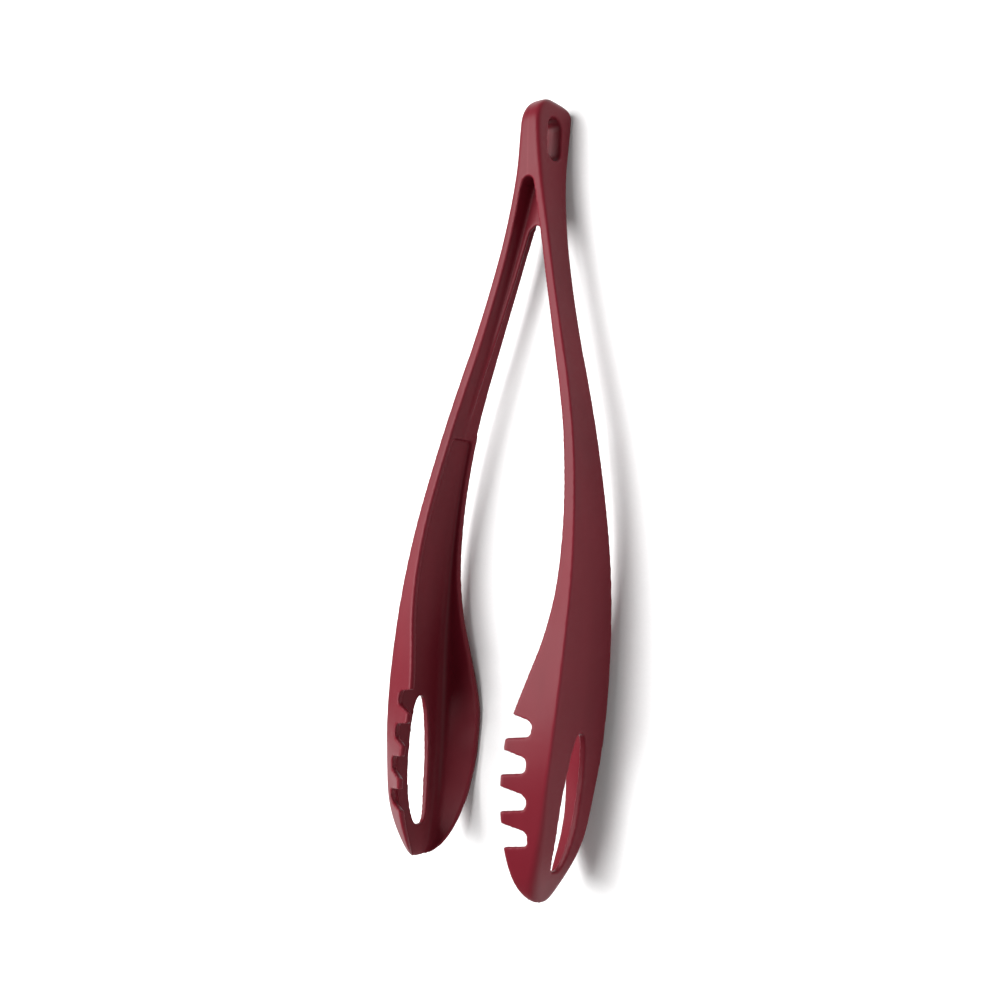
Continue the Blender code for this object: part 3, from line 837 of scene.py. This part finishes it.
def patches_and_edge_highlight():
    """Soft patches where handling has changed the sheen, and a band along the edges for polish and a
    painted highlight.
    """
    tree, start, end = new_group(
        "patches_and_edge_highlight", [("Where", "Vector", None), ("Edge", "Float", 0.0),
                         ("Patches per Metre", "Float", 45.0)],
        [("Patch", "Float"), ("Edge Polish and Highlight", "Float")])
    patches = noise(tree, start["Where"], start["Patches per Metre"], 4.0, 0.6)
    tree.links.new(spread_range(tree, patches, 0.42, 0.68), end["Patch"])
    nick_scale = arithmetic(tree, "MULTIPLY", start["Patches per Metre"], 9.0)
    nicks = noise(tree, start["Where"], nick_scale, 3.0, 0.7)
    broken = spread_range(tree, nicks, 0.30, 0.62, 0.45, 1.0)
    # This edge band is both real polish and a painted highlight, once it reaches the material.
    tree.links.new(arithmetic(tree, "MULTIPLY", start["Edge"], broken), end["Edge Polish and Highlight"])
    return tree


GROUPS = {build.__name__: build() for build in (melt_drift, mould_grain, patches_and_edge_highlight)}
print("node groups:", sorted(GROUPS))

# %% [markdown]
# The material itself holds the shader. The groups only feed its colour, roughness and normal, and what
# is the same all over, such as the gloss level, sits on the shader's own sockets.

# %% Burgundy plastic
DEEP_WINE = (0.096, 0.0060, 0.0118, 1.0)
WARM_WINE = (0.119, 0.0080, 0.0150, 1.0)
# Painted highlight: a lighter wine blended in along the convex edges.
EDGE_HIGHLIGHT_WINE = (0.165, 0.0200, 0.0300, 1.0)
SATIN_ROUGHNESS = 0.36
POLISHED_ROUGHNESS = 0.27
DULL_ROUGHNESS = 0.44
GRAIN_DEPTH = 0.000012     # metres


def place_group(tree, name, **values):
    made = node(tree, "ShaderNodeGroup", node_tree=GROUPS[name])
    for socket, value in values.items():
        target = made.inputs[socket.replace("_", " ")]
        if isinstance(value, (int, float, tuple)):
            target.default_value = value
        else:
            tree.links.new(value, target)
    return made.outputs


def dress_plastic(material):
    material.use_nodes = True
    tree = material.node_tree
    shader = tree.nodes["Principled BSDF"]
    where = node(tree, "ShaderNodeTexCoord").outputs["Object"]
    edge = node(tree, "ShaderNodeAttribute", attribute_name="convex_edge").outputs["Fac"]
    drift = place_group(tree, "melt_drift", Where=where, Deep=DEEP_WINE, Warm=WARM_WINE, Streaks=90.0)
    patch_and_edge_masks = place_group(tree, "patches_and_edge_highlight", Where=where, Edge=edge, Patches_per_Metre=45.0)
    grain = place_group(tree, "mould_grain", Where=where, Grains_per_Metre=2600.0)
    # Painted highlight: the edge band blends the colour towards the lighter edge wine, and it also lowers
    # the roughness as polish does.
    highlight_share = arithmetic(tree, "MULTIPLY", patch_and_edge_masks["Edge Polish and Highlight"], 0.55)
    colour = blend_colours(tree, highlight_share, drift["Colour"], EDGE_HIGHLIGHT_WINE)
    tree.links.new(colour, shader.inputs["Base Color"])
    satin = spread_range(tree, patch_and_edge_masks["Patch"], 0.0, 1.0, SATIN_ROUGHNESS, DULL_ROUGHNESS)
    polish = arithmetic(tree, "MULTIPLY", patch_and_edge_masks["Edge Polish and Highlight"], SATIN_ROUGHNESS - POLISHED_ROUGHNESS)
    tree.links.new(arithmetic(tree, "SUBTRACT", satin, polish), shader.inputs["Roughness"])
    bump = node(tree, "ShaderNodeBump")
    bump.inputs["Strength"].default_value = 0.6
    bump.inputs["Distance"].default_value = GRAIN_DEPTH
    tree.links.new(grain["Height"], bump.inputs["Height"])
    tree.links.new(bump.outputs["Normal"], shader.inputs["Normal"])
    shader.inputs["IOR"].default_value = 1.5
    shader.inputs["Specular IOR Level"].default_value = 0.11


dress_plastic(plastic)
for half in halves.values():
    half.data.materials.clear()
    half.data.materials.append(plastic)
print("plastic:", len(plastic.node_tree.nodes), "nodes")

# %% [markdown]
# ## Hiding the imported parts
#
# The imported model turns each arm about a line at its root. The real arm has no hinge: the bend is
# spread over the end of the arm and the web. Here the halves keep their place in their meshes, the
# imported model's own parts are hidden, and the workshop is cleared away.


for side, half in halves.items():
    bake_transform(half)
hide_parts("crown", "left_arm", "left_jaw")
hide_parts("right_arm", "right_jaw")
bpy.data.collections.remove(workshop)
print("halves:", {s: len(h.data.loop_triangles) or len(h.data.polygons) for s, h in halves.items()})

# %% [markdown]
# ## The studio
#
# The tongs lie on a pale floor under a white sky. One broad soft light on the left makes the front
# faces shine grey and pink, and the faces turned to the right stay dark.

# %% Floor and lights
FLOOR_HALF = 4.0
FLOOR_GREY = 0.74


def pale_floor():
    bm = bmesh.new()
    bmesh.ops.create_grid(bm, x_segments=1, y_segments=1, size=FLOOR_HALF)
    mesh = bpy.data.meshes.new("studio_floor")
    bm.to_mesh(mesh)
    bm.free()
    floor = bpy.data.objects.new("studio_floor", mesh)
    bpy.context.scene.collection.objects.link(floor)
    paper = bpy.data.materials.new("studio_paper")
    paper.use_nodes = True
    tree = paper.node_tree
    shader = tree.nodes["Principled BSDF"]
    where = node(tree, "ShaderNodeTexCoord").outputs["Object"]
    fibres = place_group(tree, "mould_grain", Where=where, Grains_per_Metre=900.0)
    shade = spread_range(tree, fibres["Height"], 0.3, 0.7)
    tree.links.new(blend_colours(tree, shade, (FLOOR_GREY - 0.01,) * 3 + (1.0,),
                                 (FLOOR_GREY + 0.01,) * 3 + (1.0,)), shader.inputs["Base Color"])
    shader.inputs["Roughness"].default_value = 0.9
    shader.inputs["Specular IOR Level"].default_value = 0.1
    mesh.materials.append(paper)


def soft_light(name, direction, distance, size, watts):
    """A square soft light that looks at the middle of the tongs."""
    data = bpy.data.lights.new(name, "AREA")
    data.size = size
    data.energy = watts
    lamp = bpy.data.objects.new(name, data)
    bpy.context.scene.collection.objects.link(lamp)
    towards = Vector(direction).normalized()
    lamp.location = towards * distance
    lamp.rotation_euler = towards.to_track_quat("Z", "Y").to_euler()


pale_floor()
soft_light("left_softbox", (-0.42, 0.12, 0.90), 1.3, 1.3, 51.0)
soft_light("right_fill", (0.80, -0.30, 0.52), 1.6, 1.4, 8.5)
sky = bpy.data.worlds.new("white_sky")
sky.use_nodes = True
sky.node_tree.nodes["Background"].inputs["Color"].default_value = (1.0, 1.0, 1.0, 1.0)
sky.node_tree.nodes["Background"].inputs["Strength"].default_value = 0.22
bpy.context.scene.world = sky
bpy.context.scene.view_settings.view_transform = "Standard"

# %% [markdown]
# ## The camera
#
# The camera stands in front of the tongs and to their right, as if they stood upright, and rolls a few
# degrees. Its place is worked out in the tongs' own axes and then carried into the frame, so it keeps
# its view if the tongs are laid down differently.

# %% Camera
AZIMUTH = math.radians(42.5)     # from straight in front towards the right arm
ELEVATION = math.radians(-1.93)
ROLL = math.radians(5.3)
DISTANCE = 408.5                 # millimetres
AIM_Y = 140.1                    # the height on the tongs that it looks at
AIM_SHIFT = (4.4, -1.35)         # millimetres to the side and down
LENS = 39.74


def tongs_camera():
    back = Vector((math.sin(AZIMUTH) * math.cos(ELEVATION), math.sin(ELEVATION),
                   math.cos(AZIMUTH) * math.cos(ELEVATION)))
    level = Vector((math.cos(AZIMUTH), 0.0, -math.sin(AZIMUTH)))
    down = -back.cross(level)
    right = math.cos(ROLL) * level - math.sin(ROLL) * down
    below = math.sin(ROLL) * level + math.cos(ROLL) * down
    stand = Vector((0.0, AIM_Y, 0.0)) + back * DISTANCE - right * AIM_SHIFT[0] - below * AIM_SHIFT[1]
    data = bpy.data.cameras.new("tongs_camera")
    data.lens = LENS
    data.clip_start = 0.01
    camera = bpy.data.objects.new("tongs_camera", data)
    bpy.context.scene.collection.objects.link(camera)
    axes = turn.to_3x3() @ Matrix((right, -below, back)).transposed()
    camera.matrix_world = Matrix.Translation(place @ stand) @ axes.to_4x4()
    bpy.context.scene.camera = camera
    print("camera at", [round(v, 3) for v in camera.location])


tongs_camera()
